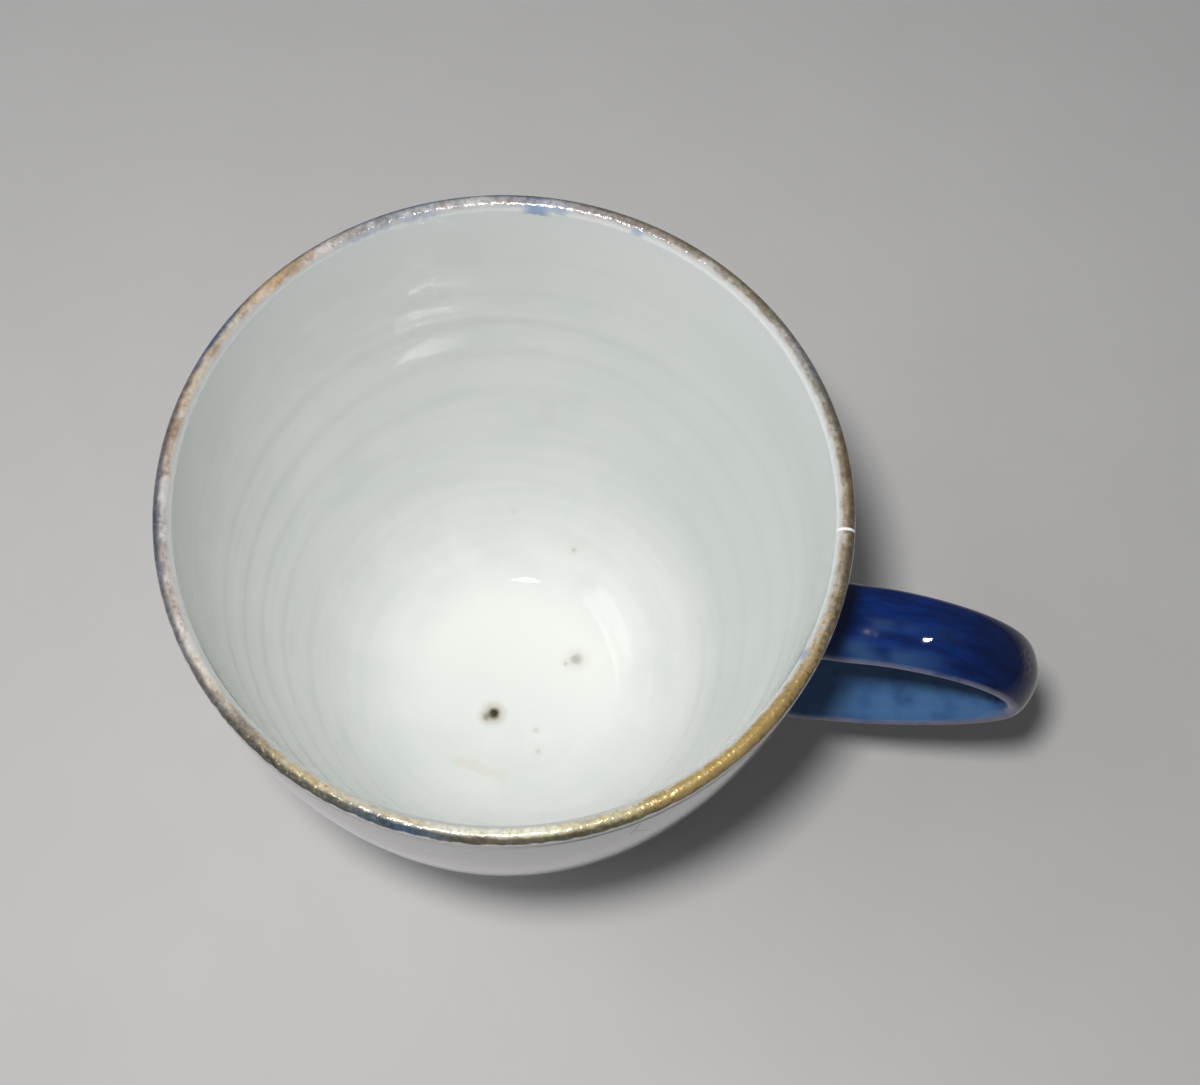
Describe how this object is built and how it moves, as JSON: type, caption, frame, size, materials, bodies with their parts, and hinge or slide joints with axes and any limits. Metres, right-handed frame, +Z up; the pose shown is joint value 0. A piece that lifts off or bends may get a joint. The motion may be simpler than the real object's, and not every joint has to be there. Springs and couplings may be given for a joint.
{
  "type": "teacup",
  "caption": "Tall tapering porcelain cup with a cobalt-blue strap loop handle, a turned foot ring and a worn gilt line over blue on the lip.",
  "frame": {"origin": "middle of the box round the whole cup and handle, on the surface that the foot ring rests on", "axes": "+Z up along the cup's axis, +X from the cup towards the middle of the handle loop"},
  "size_m": [0.09, 0.0666, 0.065],
  "materials": {
    "white_glaze": "glossy thin blue-green glaze over white porcelain, with iron specks and throwing rings",
    "bare_foot": "matt unglazed porcelain, lightly soiled from use",
    "worn_gilding": "thin fired gold, rubbed through to glaze and cobalt",
    "cobalt_line": "thin hand-painted cobalt under glaze",
    "cobalt_glaze": "glossy deep cobalt, paler and mottled where it runs thin at edges"
  },
  "bodies": {
    "root": {"cup_body": "white_glaze", "foot_ring": "bare_foot", "gilt_rim": "worn_gilding", "cobalt_rim_line": "cobalt_line", "handle": "cobalt_glaze", "handle_upper_luting": "cobalt_glaze", "handle_lower_luting": "cobalt_glaze"}
  },
  "joints": []
}
